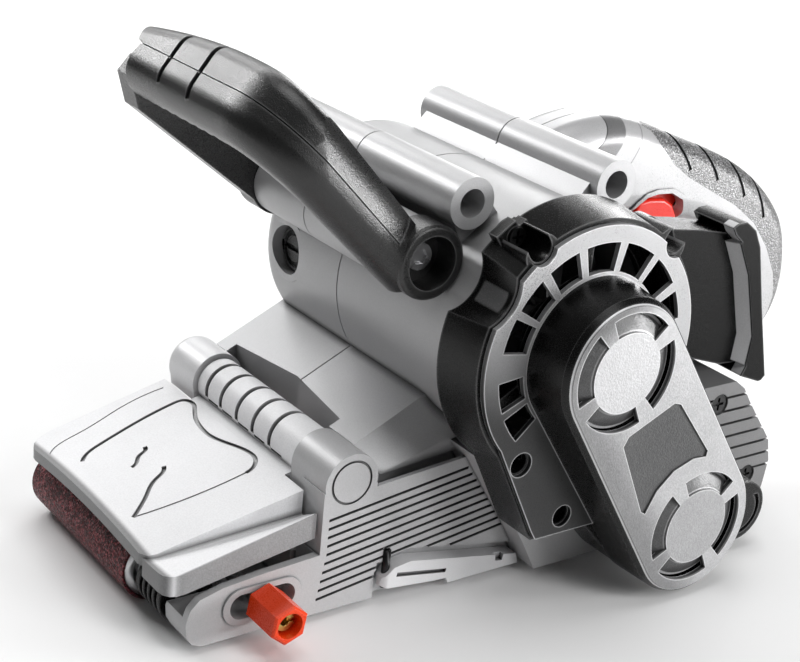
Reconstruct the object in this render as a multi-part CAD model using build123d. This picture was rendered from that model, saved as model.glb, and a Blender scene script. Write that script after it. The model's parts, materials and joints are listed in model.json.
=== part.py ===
from build123d import *
import math
import os

os.makedirs("parts", exist_ok=True)

# ------------------------------------------------------------------
# Hand-held belt sander. Millimetres, +X rearward, +Y away from the
# drive side, +Z up, Z = 0 is the working face of the abrasive belt.
# ------------------------------------------------------------------
BELT_W, BELT_T = 76.0, 1.0              # abrasive belt 76 x 533
X_FRONT, Z_FRONT, R_FRONT = -102.0, 13.0, 11.7
X_DRIVE, Z_DRIVE, R_DRIVE = 114.0, 20.0, 18.7
X_MOT, Z_MOT = 26.0, 100.0              # motor axis
R_HOUS, T_HOUS = 45.0, 3.0              # motor housing tube
Y_FAR, Y_PART, Y_CASE = 40.0, -15.0, -86.0
X_JACK, Z_JACK = 73.4, 30.3             # intermediate shaft axis
Y_CASE_OUT, Y_PLATE, Y_COVER = -104.6, -106.6, -125.0
X_TUBE1, X_TUBE2, Z_TUBE = -6.5, 59.0, 147.2
R_TUBE, R_TUBE_BORE = 9.3, 5.2          # clamp tubes on top
Y_TUBE0, Y_TUBE1 = -73.0, 35.0
X_BAIL, Z_BAIL, R_BAIL = -23.5, 129.0, 12.4
R_EYE = 13.4                            # eyes of the front handle
X_HNG, Z_HNG = -48.3, 52.2              # front cover hinge axis
R_BARREL, R_BOSS, R_PIN = 9.3, 10.8, 2.5
Y_WALL_OUT, Y_WALL_IN = -76.3, -62.0    # near side wall
Y_BASE_OUT = -87.0                      # rear part of the base, outer face
Z_DECK0, Z_DECK1 = 44.0, 48.2
X_KNOB, Z_KNOB = -81.8, 14.8            # tracking knob axis
X_LEV, Y_LEV = -30.5, -76.5             # tension lever pivot
Y_HAN = -15.0                           # middle plane of the rear handle
Y_BOSS_N, Y_BOSS_F = -54.1, 17.5        # inner faces of the hinge bosses
CLR = 0.3                               # gap between moving faces
PITCH_RIB, SLOPE_RIB = 3.35, 0.134      # side wall ribs
COV_SLOPE = 15.5                        # slope of the front cover, degrees
M_R_PUL, J_R_PUL = 8.0, 19.0            # first belt stage
J_R_PIN, D_R_PUL = 6.0, 13.0            # second belt stage

PARTS = {}


def box(x0, x1, y0, y1, z0, z1):
    return Pos((x0 + x1) / 2, (y0 + y1) / 2, (z0 + z1) / 2) * Box(x1 - x0, y1 - y0, z1 - z0)


def cyl_y(x, z, r, y0, y1):
    return Pos(x, (y0 + y1) / 2, z) * Rot(90, 0, 0) * Cylinder(r, y1 - y0)


def cyl_x(y, z, r, x0, x1):
    return Pos((x0 + x1) / 2, y, z) * Rot(0, 90, 0) * Cylinder(r, x1 - x0)


def cyl_z(x, y, r, z0, z1):
    return Pos(x, y, (z0 + z1) / 2) * Cylinder(r, z1 - z0)


def ring_y(x, z, ro, ri, y0, y1):
    return cyl_y(x, z, ro, y0, y1) - cyl_y(x, z, ri, y0 - 1, y1 + 1)


def xz_plane(y):
    return Plane(origin=(0, y, 0), x_dir=(1, 0, 0), z_dir=(0, -1, 0))


def ext_xz(face, y0, y1):
    return extrude(xz_plane(y1) * face, amount=y1 - y0, dir=(0, -1, 0))


def poly(pts):
    return make_face(Polyline(*pts, close=True))


def ext_poly(pts, y0, y1):
    return ext_xz(poly(pts), y0, y1)


def polar(x, z, r, a):
    return (x + r * math.cos(a), z + r * math.sin(a))


def hull2(x1, z1, r1, x2, z2, r2):
    d = math.hypot(x2 - x1, z2 - z1)
    t = math.atan2(z2 - z1, x2 - x1)
    b = math.acos((r1 - r2) / d)
    p1, p2 = polar(x1, z1, r1, t + b), polar(x2, z2, r2, t + b)
    p3, p4 = polar(x2, z2, r2, t - b), polar(x1, z1, r1, t - b)
    return make_face([Line(p1, p2), ThreePointArc(p2, polar(x2, z2, r2, t), p3),
                      Line(p3, p4), ThreePointArc(p4, polar(x1, z1, r1, t + math.pi), p1)])


def sector(x, z, r0, r1, a0, a1):
    a0, a1 = math.radians(a0), math.radians(a1)
    am = (a0 + a1) / 2
    p = [polar(x, z, r0, a0), polar(x, z, r1, a0), polar(x, z, r1, am),
         polar(x, z, r1, a1), polar(x, z, r0, a1), polar(x, z, r0, am)]
    return make_face([Line(p[0], p[1]), ThreePointArc(p[1], p[2], p[3]),
                      Line(p[3], p[4]), ThreePointArc(p[4], p[5], p[0])])


def cone_y(x, z, r_a, r_b, y_a, y_b):
    a = xz_plane(y_a) * (Pos(x, z) * Circle(r_a))
    b = xz_plane(y_b) * (Pos(x, z) * Circle(r_b))
    return loft([a, b])


def put(name, shape):
    PARTS[name] = shape
    s = shape.solids() if hasattr(shape, "solids") else shape
    print(name, len(s), round(sum(q.volume for q in s)))


def group(shapes):
    out = []
    for s in shapes:
        out += list(s.solids())
    return Compound(children=out)


# ------------------------------------------------------------------
# Abrasive belt, rollers
# ------------------------------------------------------------------
belt_out = hull2(X_FRONT, Z_FRONT, 13.0, X_DRIVE, Z_DRIVE, 20.0)
belt_in = hull2(X_FRONT, Z_FRONT, 13.0 - BELT_T, X_DRIVE, Z_DRIVE, 20.0 - BELT_T)
put("abrasive_belt", ext_xz(belt_out, -BELT_W / 2, BELT_W / 2) - ext_xz(belt_in, -BELT_W / 2 - 1, BELT_W / 2 + 1))

roller = cyl_y(X_FRONT, Z_FRONT, R_FRONT, -37.5, 37.5) - cyl_y(X_FRONT, Z_FRONT, 4.06, -40, 40)
for yy in (-38.0, 31.0):
    roller -= cyl_y(X_FRONT, Z_FRONT, 8.6, yy, yy + 7.0) - cyl_y(X_FRONT, Z_FRONT, 6.0, yy, yy + 7.0)
put("front_roller", roller)

drum = cyl_y(X_DRIVE, Z_DRIVE, 15.2, -37.5, 37.5) - cyl_y(X_DRIVE, Z_DRIVE, 5.0, -40, 40)
drum -= cyl_y(X_DRIVE, Z_DRIVE, 12.6, 30.5, 40) - cyl_y(X_DRIVE, Z_DRIVE, 7.5, 30.5, 40)
drum -= cyl_y(X_DRIVE, Z_DRIVE, 12.6, -40, -30.5) - cyl_y(X_DRIVE, Z_DRIVE, 7.5, -40, -30.5)
put("drive_drum", drum)
tyre = ring_y(X_DRIVE, Z_DRIVE, R_DRIVE, 15.2, -37.5, 37.5)
for k in range(7):
    yy = -30 + 10 * k
    tyre -= ring_y(X_DRIVE, Z_DRIVE, 30, R_DRIVE - 0.8, yy - 0.7, yy + 0.7)
put("drive_tyre", tyre)
put("drive_shaft", cyl_y(X_DRIVE, Z_DRIVE, 5.0, -98.5, 43.2))
d_pul = ring_y(X_DRIVE, Z_DRIVE, D_R_PUL, 5.0, -84.0, -76.0)
for k in range(5):
    d_pul -= cyl_y(*polar(X_DRIVE, Z_DRIVE, 9.0, k * 2 * math.pi / 5), 1.9, -90, -70)
put("drive_pulley", d_pul)

# ------------------------------------------------------------------
# Tension yoke with the front roller axle
# ------------------------------------------------------------------
yoke = box(-86.0, -76.0, -43.0, 41.2, 8.0, 19.5)
yoke += ext_xz(hull2(X_FRONT, Z_FRONT, 7.5, -81.0, 13.7, 5.7), -43.0, -38.6)
yoke += ext_xz(hull2(X_FRONT, Z_FRONT, 7.5, -81.0, 13.7, 5.7), 38.6, 41.2)
yoke += box(-77.0, -44.0, -10.0, 10.0, 9.0, 17.0)
yoke -= cyl_y(X_FRONT, Z_FRONT, 4.0, -50, 50)
yoke -= cyl_y(X_KNOB, Z_KNOB, 3.06, -60, -20)
yoke -= box(-72.0, -50.0, -5.0, 5.0, 5.0, 25.0)
put("tension_yoke", yoke)
axle = cyl_y(X_FRONT, Z_FRONT, 4.0, -60.5, 42.6)
axle += cyl_y(X_FRONT, Z_FRONT, 5.6, 41.2, 42.6)
put("front_axle", axle)
boot = ring_y(X_FRONT, Z_FRONT, 10.4, 4.0, -60.0, -43.0)
for yy in (-46.5, -50.0, -53.5, -57.0):
    boot -= ring_y(X_FRONT, Z_FRONT, 30, 8.2, yy - 1.0, yy + 1.0)
put("axle_boot", boot)

# tracking knob: hexagonal grip with a brass insert on a steel stem
hexa = RegularPolygon(radius=7.5, side_count=6, rotation=20)
knob = ext_xz(Pos(X_KNOB, Z_KNOB) * hexa, -95.0, -78.0)
knob = chamfer(knob.edges().group_by(Axis.Y)[0], 0.8)
knob -= cyl_y(X_KNOB, Z_KNOB, 4.7, -96, -88.0)
knob -= cyl_y(X_KNOB, Z_KNOB, 3.6, -96, -77)
put("tracking_knob", knob)
insert = ring_y(X_KNOB, Z_KNOB, 3.6, 1.6, -91.5, -80.0)
insert -= ext_xz(Pos(X_KNOB, Z_KNOB) * Rectangle(7.4, 1.2), -93, -90.0)
put("knob_insert", insert)
put("tracking_stem", cyl_y(X_KNOB, Z_KNOB, 3.0, -78.0, -24.0) + cyl_y(X_KNOB, Z_KNOB, 1.6, -86.0, -78.0)
    + ring_y(X_KNOB, Z_KNOB, 3.55, 1.0, -80.0, -78.0))

# ------------------------------------------------------------------
# Base frame: near side wall, core inside the belt loop, rear section
# ------------------------------------------------------------------
wall_pts = [(-104.5, 3.0), (-108.2, 4.6), (-110.5, 8.5), (-110.9, 13.0), (-109.3, 18.0), (-106.0, 21.2),
            (-97.0, 23.6), (-81.2, 25.1), (-59.3, 26.4), (-59.3, 50.0), (-48.0, 54.0), (-37.4, 50.0), (-37.4, 48.4),
            (0.0, 51.6), (24.0, 53.7), (60.0, 53.7), (60.0, 3.0)]
wall = ext_poly(wall_pts, Y_WALL_OUT, Y_WALL_IN)
wall += ext_poly([(-59.1, 30.0), (-37.5, 30.0), (-37.5, 52.0), (-59.1, 52.0)], Y_WALL_IN - 1, Y_BOSS_N)
wall += cyl_y(X_HNG, Z_HNG, R_BOSS, Y_WALL_OUT, Y_BOSS_N)
# open troughs behind the thin outer skin of the wall
wall -= box(-114.0, -60.0, -73.2, Y_WALL_IN + 1, 14.5, 60.0)
wall -= box(-36.6, 30.0, -74.6, -66.0, 43.0, 60.0)
# end disc of the hinge boss
wall -= ring_y(X_HNG, Z_HNG, 8.4, 7.5, -80, Y_WALL_OUT + 0.8)
# ribbed panel
for i in range(10):
    z_l = 39.3 - PITCH_RIB * i
    x_l = -56.5 - (0 if i < 5 else 0.6 * (i - 4))
    z0 = z_l + (x_l + 55.7) * SLOPE_RIB
    x_r = 3.0 + 26.0 * min(1.0, (47.0 - z_l - 7.8) / 37.9)
    z1 = z_l + (x_r + 55.7) * SLOPE_RIB
    wall -= ext_poly([(x_l, z0 - 0.55), (x_r, z1 - 0.55), (x_r, z1 + 0.55), (x_l, z0 + 0.55)],
                     Y_WALL_OUT - 1, Y_WALL_OUT + 1.5)
# oval boss with the slot of the tracking stem
oval = hull2(-90.3, Z_KNOB, 6.9, -73.3, Z_KNOB + 0.01, 6.899)
wall += ext_xz(oval, Y_WALL_OUT - 0.9, Y_WALL_OUT)
wall -= ext_xz(hull2(-89.8, Z_KNOB, 4.8, -73.8, Z_KNOB + 0.01, 4.799), -90, -50)
# recess of the tension lever
wall -= ext_poly([(-35.2, 2.0), (-35.2, 13.4), (-29.8, 18.6), (-21.2, 19.6), (29.6, 10.2), (34.0, 2.0)],
                 -90, -73.0)
wall -= cyl_z(X_LEV, Y_LEV, 3.9, 2.0, 17.0)
base = wall

rear_pts = [(24.0, 16.5), (31.5, 3.2), (151.0, 3.2), (153.0, 12.0), (154.3, 23.0), (151.7, 33.0), (143.0, 44.0),
            (136.0, 53.0), (131.5, 59.5), (126.0, 63.5), (34.0, 63.5), (-2.0, 56.5)]
rear = ext_poly(rear_pts, Y_BASE_OUT, Y_WALL_IN)
rear -= cyl_y(X_MOT, Z_MOT, 51.6, Y_BASE_OUT - 1, Y_WALL_IN + 1)
base += rear
# stepped ribs on the outer rear face
for i in range(7):
    z0 = 21.0 + 5.9 * i
    base -= box(96.0, 160.0, Y_BASE_OUT - 1, Y_BASE_OUT + 1.2 + 0.25 * i, z0, z0 + 1.1)
# chamber of the second belt stage, open to the outside
base -= ext_xz(hull2(X_JACK, Z_JACK, 10.5, X_DRIVE, Z_DRIVE, 15.4), Y_BASE_OUT - 1, -74.5)
# bearing seats and shaft holes
base -= cyl_y(X_JACK, Z_JACK, 9.0, -75, -66.0)
base -= cyl_y(X_JACK, Z_JACK, 5.0, -75, -60)
base -= cyl_y(X_DRIVE, Z_DRIVE, 11.0, -75, -66.0)
base -= cyl_y(X_DRIVE, Z_DRIVE, 7.0, -75, -60)
# lightening pockets on the inner side
base -= box(40.0, 58.0, -80.0, Y_WALL_IN + 1, 8.0, 46.0)
base -= ext_poly([(137.0, 12.0), (147.0, 12.0), (148.5, 23.0), (146.0, 31.0), (137.0, 42.0)], -80.0, Y_WALL_IN + 1)
# core inside the belt loop
core = box(-62.0, 90.0, Y_WALL_IN, 38.2, 8.0, 21.5)
core += box(-82.0, 90.0, Y_WALL_IN, 38.2, 5.0, 7.6)
core += box(-62.0, 90.0, Y_WALL_IN, 38.2, 7.5, 8.1)
core -= box(-63.0, -30.0, -10.4, 10.4, 8.6, 17.4)
core -= box(-22.0, 14.0, -56.0, 32.0, 8.0, 30.0)
core -= box(20.0, 52.0, -56.0, 32.0, 8.0, 30.0)
core -= box(58.0, 84.0, -56.0, 32.0, 8.0, 30.0)
core -= box(-57.0, -36.0, -56.0, -14.0, 8.0, 30.0)
core -= box(-57.0, -36.0, 14.0, 32.0, 8.0, 30.0)
core -= cyl_y(X_DRIVE, Z_DRIVE, R_DRIVE + 3.0, Y_WALL_IN + 4, 50)
core -= cyl_y(X_FRONT, Z_FRONT, R_FRONT + 8.6, Y_WALL_IN + 4, 50)
# way of the roller fork's near arm
core -= box(-95.0, -60.0, -44.2, -37.8, 4.0, 22.0)
base += core
# screw holes in the outer rear face
for (x, z) in ((118.5, 54.6), (142.0, 18.6)):
    base -= cyl_y(x, z, 4.6, -90, -84.2)
    base -= cyl_y(x, z, 2.0, -90, -73.0)
# hinge pin seat and lever pin seat
base -= cyl_y(X_HNG, Z_HNG, R_PIN, -74.0, -40)
base -= cyl_z(X_LEV, Y_LEV, 1.5, 16.0, 22.0)
put("base_frame", base)

# steel wear plate under a cork cushion
put("platen_cushion", box(-82.0, 82.0, -37.0, 37.0, 2.1, 5.0))
platen = box(-82.5, 82.5, -37.0, 37.0, 1.3, 2.1)
put("platen", platen)

# far side plate carrying the free end of the drive shaft
far = ext_xz(hull2(-46.0, 13.6, 7.0, X_DRIVE, Z_DRIVE, 13.0), 38.2, 41.2)
far -= cyl_y(X_DRIVE, Z_DRIVE, 7.5, 30, 50)
for x in (-44.0, 17.0, 55.0):
    far -= cyl_y(x, 14.6, 2.1, 30, 50)
far -= ext_xz(hull2(-24.0, 14.2, 3.6, 2.0, 14.8, 4.0), 30, 50)
far -= ext_xz(hull2(69.0, 17.0, 4.6, 88.0, 18.0, 5.2), 30, 50)
put("far_plate", far)
put("far_bush", ring_y(X_DRIVE, Z_DRIVE, 7.5, 5.05, 38.0, 43.0))
put("far_plate_screws", group([cyl_y(x, 14.6, 2.05, 38.3, 41.2) + cyl_y(x, 14.6, 3.4, 41.2, 42.6)
                               - ext_xz(Pos(x, 14.6) * Rectangle(0.9, 8), 42.0, 43) for x in (-44.0, 17.0, 55.0)]))

# deck over the belt with the far hinge ear
deck = box(-33.0, 120.0, Y_WALL_IN, 40.0, Z_DECK0, Z_DECK1)
deck += box(-33.0, 120.0, 37.4, 40.0, 42.0, Z_DECK0 + 1)
ear = cyl_y(X_HNG, Z_HNG, R_BOSS, Y_BOSS_F, 39.6)
ear = fillet(ear.edges().group_by(Axis.Y)[-1], 4.0)
deck += ear
deck += ext_poly([(-59.0, 51.0), (-58.2, 45.0), (-54.0, Z_DECK0), (-32.0, Z_DECK0), (-32.0, Z_DECK1), (-39.4, Z_DECK1), (-40.0, 58.0)],
                 Y_BOSS_F, 36.0)
deck -= cyl_y(X_HNG, Z_HNG, R_PIN, 10, 37.0)
put("top_deck", deck)
hood_pts = [(120.0, 44.0), (120.0, 63.5), (126.0, 63.5), (131.5, 59.5), (136.0, 53.0), (143.0, 44.0), (151.7, 33.0),
            (154.3, 23.0), (153.0, 12.0), (151.0, 5.0), (147.6, 5.0), (149.8, 12.5), (151.0, 22.6), (148.7, 31.5),
            (140.4, 42.0), (133.4, 51.0), (129.3, 57.0), (124.8, 60.2), (123.4, 60.2), (123.4, 44.0)]
hood = ext_poly(hood_pts, Y_WALL_IN, 42.0)
put("rear_hood", hood)

put("hinge_pin", cyl_y(X_HNG, Z_HNG, R_PIN, -73.0, 36.5))

# ------------------------------------------------------------------
# Tension lever on the side wall
# ------------------------------------------------------------------
lever = ext_poly([(-33.7, 8.4), (-33.0, 11.6), (-28.6, 15.3), (-21.6, 16.2), (28.2, 6.9), (29.6, 2.6), (-3.5, 2.6),
                  (-4.6, 4.9), (-10.0, 5.1), (-31.5, 7.4)], -79.6, -73.4)
lever = lever & (cyl_z(X_LEV, Y_LEV, 3.1, 0, 30) + box(X_LEV, 32.0, -79.6, -73.4, 0, 30))
lever -= ext_poly([(-27.6, 11.3), (-5.2, 7.4), (-4.8, 8.9), (-27.2, 12.9)], -81, -78.0)
lever -= ext_poly([(18.0, 10.5), (22.4, 9.7), (21.6, 5.6), (18.4, 6.2)], -81, -77.6)
lever -= cyl_z(X_LEV, Y_LEV, 1.55, 0, 30)
put("tension_lever", lever)
put("lever_pin", cyl_z(X_LEV, Y_LEV, 1.5, 6.6, 21.5))

# ------------------------------------------------------------------
# Motor housing, two halves with the clamp tubes and the front bridge
# ------------------------------------------------------------------
hous = cyl_y(X_MOT, Z_MOT, R_HOUS, Y_CASE, Y_FAR)
hous = fillet(hous.edges().group_by(Axis.Y)[-1], 8.0)
for xt in (X_TUBE1, X_TUBE2):
    dx, dz = xt - X_MOT, Z_TUBE - Z_MOT
    d = math.hypot(dx, dz)
    ux, uz = dx / d, dz / d
    hw = 7.4
    pts = [(X_MOT + ux * s - uz * w, Z_MOT + uz * s + ux * w) for s, w in ((38, -hw - 2), (57, -hw), (57, hw), (38, hw + 2))]
    hous += ext_poly(pts, Y_TUBE0 + 4.0, Y_TUBE1 - 4.0)
    hous += cyl_y(xt, Z_TUBE, R_TUBE, Y_TUBE0, Y_TUBE1)
hous += cyl_y(X_BAIL, Z_BAIL, R_BAIL, -63.9, 19.9)
hous += ext_poly([(-30.5, 120.0), (-22.0, 134.0), (0.0, 124.0), (-10.0, 108.0)], -60.0, 16.0)
bridge_pts = [(4.0, 80.1), (-39.3, 58.9), (-38.0, 55.0), (-36.0, Z_DECK1), (66.0, Z_DECK1), (66.0, 84.0)]
hous += ext_poly(bridge_pts, -63.0, 35.0)
# slanted near flank of the bridge
flank_a = [(-39.3, 58.9), (-12.9, 71.8), (24.0, 74.0), (24.0, 50.0), (-36.0, 50.0)]
flank_b = [(-32.0, 48.9), (-4.4, 56.7), (24.0, 60.0), (24.0, 47.4), (-31.0, 47.4)]
hous += loft([xz_plane(-62.9) * poly(flank_a), xz_plane(-70.0) * poly(flank_b)], ruled=True)
# recess behind the hinge barrel, deepest at the parting plane
hous -= Pos(0, 0, 40) * extrude(make_face(Polyline((-70, 27.2), (-34.9, 27.2), (-31.3, -12.0), (-34.9, -46.8), (-70, -46.8), close=True)), 40)
hous -= cyl_y(X_HNG, Z_HNG, R_BOSS + 0.35, -90.0, 60.0)
hous -= ext_poly([(-60.0, 40.0), (-38.9, 40.0), (-38.9, 58.4), (-60.0, 58.4)], 17.0, 37.0)
# inside
hous -= cyl_y(X_MOT, Z_MOT, R_HOUS - T_HOUS, Y_CASE - 1, 36.0)
hous -= ext_poly([(0.0, 75.0), (-26.5, 62.0), (-26.5, 51.0), (62.5, 51.0), (62.5, 80.0)], Y_WALL_IN + 3.5, 31.5)
hous += cyl_y(X_MOT, Z_MOT, 12.0, 30.0, 36.5)
# brush openings front and rear
for sgn in (-1, 1):
    a, b = X_MOT + sgn * 44.0, X_MOT + sgn * 30.0
    hous += cyl_x(21.5, Z_MOT, 12.4, min(a, b), max(a, b))
hous -= cyl_y(X_MOT, Z_MOT, 30.5, 9.0, 30.0)
for sgn in (-1, 1):
    a, b = X_MOT + sgn * 50.0, X_MOT + sgn * 37.0
    hous -= cyl_x(21.5, Z_MOT, 9.7, min(a, b), max(a, b))
    a, b = X_MOT + sgn * 50.0, X_MOT + sgn * 28.0
    hous -= cyl_x(21.5, Z_MOT, 6.0, min(a, b), max(a, b))
# bores
for xt in (X_TUBE1, X_TUBE2):
    hous -= cyl_y(xt, Z_TUBE, R_TUBE_BORE, Y_TUBE0 - 5, Y_TUBE1 + 5)
hous -= cyl_y(X_BAIL, Z_BAIL, 4.0, -70, 30)
hous -= cyl_y(X_MOT, Z_MOT, 8.0, 20.0, 36.0)
# cooling slots in the far end
for k in range(12):
    a = 360.0 / 12 * k + 15
    hous -= ext_xz(sector(X_MOT, Z_MOT, 19.0, 33.0, a - 8, a + 8), 30.0, 50.0)
# clearance of the front handle's eyes
hous -= cyl_y(X_BAIL, Z_BAIL, R_EYE + 0.4, Y_CASE - 1, -63.9) + cyl_y(X_BAIL, Z_BAIL, R_EYE + 0.4, 19.9, 50.0)
# seat of the base under the near end
hous -= ext_poly([(p[0], p[1]) for p in rear_pts], Y_BASE_OUT, Y_WALL_IN)
hous -= ext_poly([(-40.0, 40.0), (-40.0, 48.2), (0.0, 51.7), (60.0, 53.8), (60.0, 40.0)], Y_CASE - 1, Y_WALL_IN)
# parting line
for xs, zs, rs in ((X_MOT, Z_MOT, R_HOUS), (X_TUBE1, Z_TUBE, R_TUBE), (X_TUBE2, Z_TUBE, R_TUBE), (X_BAIL, Z_BAIL, R_BAIL)):
    hous -= ring_y(xs, zs, rs + 0.6, rs - 0.8, Y_PART - 0.3, Y_PART + 0.3)
hous -= ext_poly([(3.7, 80.7), (-39.6, 59.5), (-38.95, 58.15), (4.35, 79.35)], Y_PART - 0.3, Y_PART + 0.3)
put("housing_near", hous & box(-200, 200, -120, Y_PART, -10, 300))
put("housing_far", hous & box(-200, 200, Y_PART, 120, -10, 300))

# ------------------------------------------------------------------
# Gear case on the drive side, vent plate, belt cover
# ------------------------------------------------------------------
case = cone_y(X_MOT, Z_MOT, 51.0, 48.4, Y_CASE, Y_CASE_OUT)
case += ext_poly([(-18.5, 84.0), (-13.0, 74.5), (8.6, 33.5), (11.0, 29.6), (40.0, 29.6), (40.0, 84.0)],
                 Y_CASE_OUT, Y_BASE_OUT)
low_hull = hull2(X_JACK, Z_JACK, 27.6, 117.0, 18.0, 12.6)
case += ext_xz(low_hull, Y_CASE_OUT, Y_BASE_OUT)
case += ext_xz(hull2(X_MOT, Z_MOT, 40.0, X_JACK, Z_JACK, 27.6), Y_CASE_OUT, Y_BASE_OUT)
case += cyl_y(117.0, 18.0, 12.6, -108.0, Y_BASE_OUT)
# screw channels on the rim
CHANNEL = ((124.0, -84.0), (47.0, -70.0))
for ang, y1 in CHANNEL:
    x, z = polar(X_MOT, Z_MOT, 47.2, math.radians(ang))
    case += cyl_y(x, z, 7.0, Y_CASE_OUT, Y_CASE)
    case += cyl_y(x, z, 5.2, Y_CASE - 1, y1)
    case += Pos(x, 0, z) * Rot(0, 90 - ang, 0) * box(-6.4, 6.4, -91.5, -87.0, -8.0, 7.4 if ang > 90 else 3.6)
# scallop beside the front handle's eye
case -= cyl_y(X_BAIL - 0.5, Z_BAIL + 0.5, 14.0, -120, -80)
# screw channel pockets
for ang, y1 in CHANNEL:
    x, z = polar(X_MOT, Z_MOT, 49.6, math.radians(ang))
    xo, zo = polar(X_MOT, Z_MOT, 62.0, math.radians(ang))
    case -= cyl_y(x, z, 3.4, -110, -89.6)
    case -= ext_xz(hull2(x, z, 4.7, xo, zo, 4.701), -110, -91.5)
    case -= Pos(x, 0, z) * Rot(0, 90 - ang, 0) * box(2.6, 8.0, -92.5, -86.0, 2.4, 12.0)
# inside
case -= cyl_y(X_MOT, Z_MOT, 44.0, -101.6, Y_CASE - 3.0)
case -= cyl_y(X_MOT, Z_MOT, 40.0, -90.0, Y_CASE + 1) - cyl_y(X_MOT, Z_MOT, 15.0, -91.0, Y_CASE + 2)
case -= ext_xz(hull2(X_JACK, Z_JACK, 23.5, X_JACK + 10, Z_JACK + 20, 12.0), -101.6, -80)
case -= ext_xz(hull2(X_JACK, Z_JACK, 12.0, X_DRIVE, Z_DRIVE, 9.9), -92.0, -80)
case -= ext_xz(hull2(X_JACK, Z_JACK, 10.5, X_DRIVE, Z_DRIVE, 15.4), -88.5, -80) & box(60, 135, -89, -80, 6.2, 60)
# webs with bearing seats
case += cyl_y(X_MOT, Z_MOT, 15.0, -98.0, -86.0)
for k in range(3):
    a = math.radians(90 + 120 * k)
    p, q = polar(X_MOT, Z_MOT, 12.0, a), polar(X_MOT, Z_MOT, 45.0, a)
    px, pz = -math.sin(a) * 2.5, math.cos(a) * 2.5
    case += ext_poly([(p[0] + px, p[1] + pz), (q[0] + px, q[1] + pz), (q[0] - px, q[1] - pz), (p[0] - px, p[1] - pz)],
                     -98.0, -89.0)
case -= cyl_y(X_MOT, Z_MOT, 11.0, -96.0, -85.0)
case -= cyl_y(X_MOT, Z_MOT, 6.0, -110.0, -85.0)
case += cyl_y(X_JACK, Z_JACK, 12.5, -104.6, -95.0)
case -= cyl_y(X_JACK, Z_JACK, 9.0, -110.0, -97.0)
case -= cyl_y(X_JACK, Z_JACK, 5.0, -110.0, -80.0)
case -= cyl_y(X_DRIVE, Z_DRIVE, 8.0, -99.0, -80.0)
case -= ring_y(117.0, 18.0, 10.4, 8.6, -109.0, -107.0) & box(108, 140, -120, -100, 8, 24)
# air path to the vent windows
case -= ring_y(X_MOT, Z_MOT, 41.0, 29.0, -110.0, -100.0) & (box(-60, 80, -120, -90, 104, 160) + box(-60, 14, -120, -90, 66, 110))
for (x, z) in ((0.4, 62.5), (23.0, 37.4)):
    case -= cyl_y(x, z, 4.0, -110, -98.0)
case -= hous
case -= base
put("gear_case", case)

plate = cyl_y(X_MOT, Z_MOT, 46.6, Y_PLATE, Y_CASE_OUT)
plate += ext_poly([(-17.0, 82.0), (-12.2, 75.0), (9.4, 34.0), (11.6, 30.6), (40.0, 30.6), (40.0, 84.0)], Y_PLATE, Y_CASE_OUT)
plate -= cyl_y(X_BAIL - 0.5, Z_BAIL + 0.5, 15.2, -120, -80)
for ang, y1 in CHANNEL:
    x, z = polar(X_MOT, Z_MOT, 49.4, math.radians(ang))
    plate -= cyl_y(x, z, 5.6, -110, -93.0)
WINDOWS = [(10.4, 26.5), (32.0, 51.0), (55.5, 76.0), (81.0, 102.5), (107.5, 126.0), (131.3, 148.7), (153.0, 171.0),
           (186.5, 203.0), (207.5, 223.0)]
for a0, a1 in WINDOWS:
    plate -= ext_xz(sector(X_MOT, Z_MOT, 30.0, 40.4, a0, a1), -110, -100)
plate -= cyl_y(0.4, 62.5, 4.6, -110, -100)
plate -= cyl_y(23.0, 37.4, 4.2, -110, -100)
# the cover's foot bears on the gear case, not on this plate
cov_foot = ext_xz(hull2(X_MOT, Z_MOT, 28.6, X_JACK, Z_JACK, 28.0), Y_PLATE - 1, Y_CASE_OUT)
plate -= cov_foot
put("vent_plate", plate)

base_hull = hull2(X_MOT, Z_MOT, 28.6, X_JACK, Z_JACK, 28.0)
mid_hull = hull2(X_MOT, Z_MOT, 26.4, X_JACK, Z_JACK, 27.6)
cover = loft([xz_plane(-106.6) * base_hull, xz_plane(-122.0) * mid_hull])
cover += ext_xz(base_hull, -106.7, Y_CASE_OUT)
cover += loft([xz_plane(-121.9) * mid_hull, xz_plane(-124.2) * hull2(X_MOT, Z_MOT, 25.0, X_JACK, Z_JACK, 26.6)])
in_a = hull2(X_MOT, Z_MOT, 26.4, X_JACK, Z_JACK, 25.8)
in_b = hull2(X_MOT, Z_MOT, 23.4, X_JACK, Z_JACK, 24.6)
cover -= loft([xz_plane(-104.0) * in_a, xz_plane(-125.5) * in_b])
put("belt_cover", cover)

CA = math.degrees(math.atan2(Z_JACK - Z_MOT, X_JACK - X_MOT))
face = ext_xz(hull2(X_MOT, Z_MOT, 24.9, X_JACK, Z_JACK, 26.5), Y_COVER, -122.6)
face = chamfer(face.edges().group_by(Axis.Y)[0], 0.9)
face -= ext_xz(hull2(X_MOT, Z_MOT, 30.0, X_JACK, Z_JACK, 30.0), -124.2, -120) - ext_xz(
    hull2(X_MOT, Z_MOT, 23.3, X_JACK, Z_JACK, 24.5), -126, -119)
for cx, cz in ((X_MOT, Z_MOT), (X_JACK, Z_JACK)):
    for k in range(4):
        a = CA + 90 * k
        face -= ext_xz(sector(cx, cz, 14.8, 21.9, a + 9.0, a + 81.0), -127, -120)
    face += cone_y(cx, cz, 15.4, 21.6, -124.2, -121.2) - cone_y(cx, cz, 12.6, 20.4, -124.4, -121.0)
plate_pts = [(29.6, 71.6), (31.5, 75.2), (51.4, 84.2), (54.6, 83.2), (72.6, 61.4), (72.2, 59.2),
             (66.0, 59.6), (57.0, 56.6), (49.8, 50.2), (45.6, 42.0), (43.4, 43.2)]
face -= ext_poly(plate_pts, -126, -124.3)
put("cover_face", face)

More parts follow.
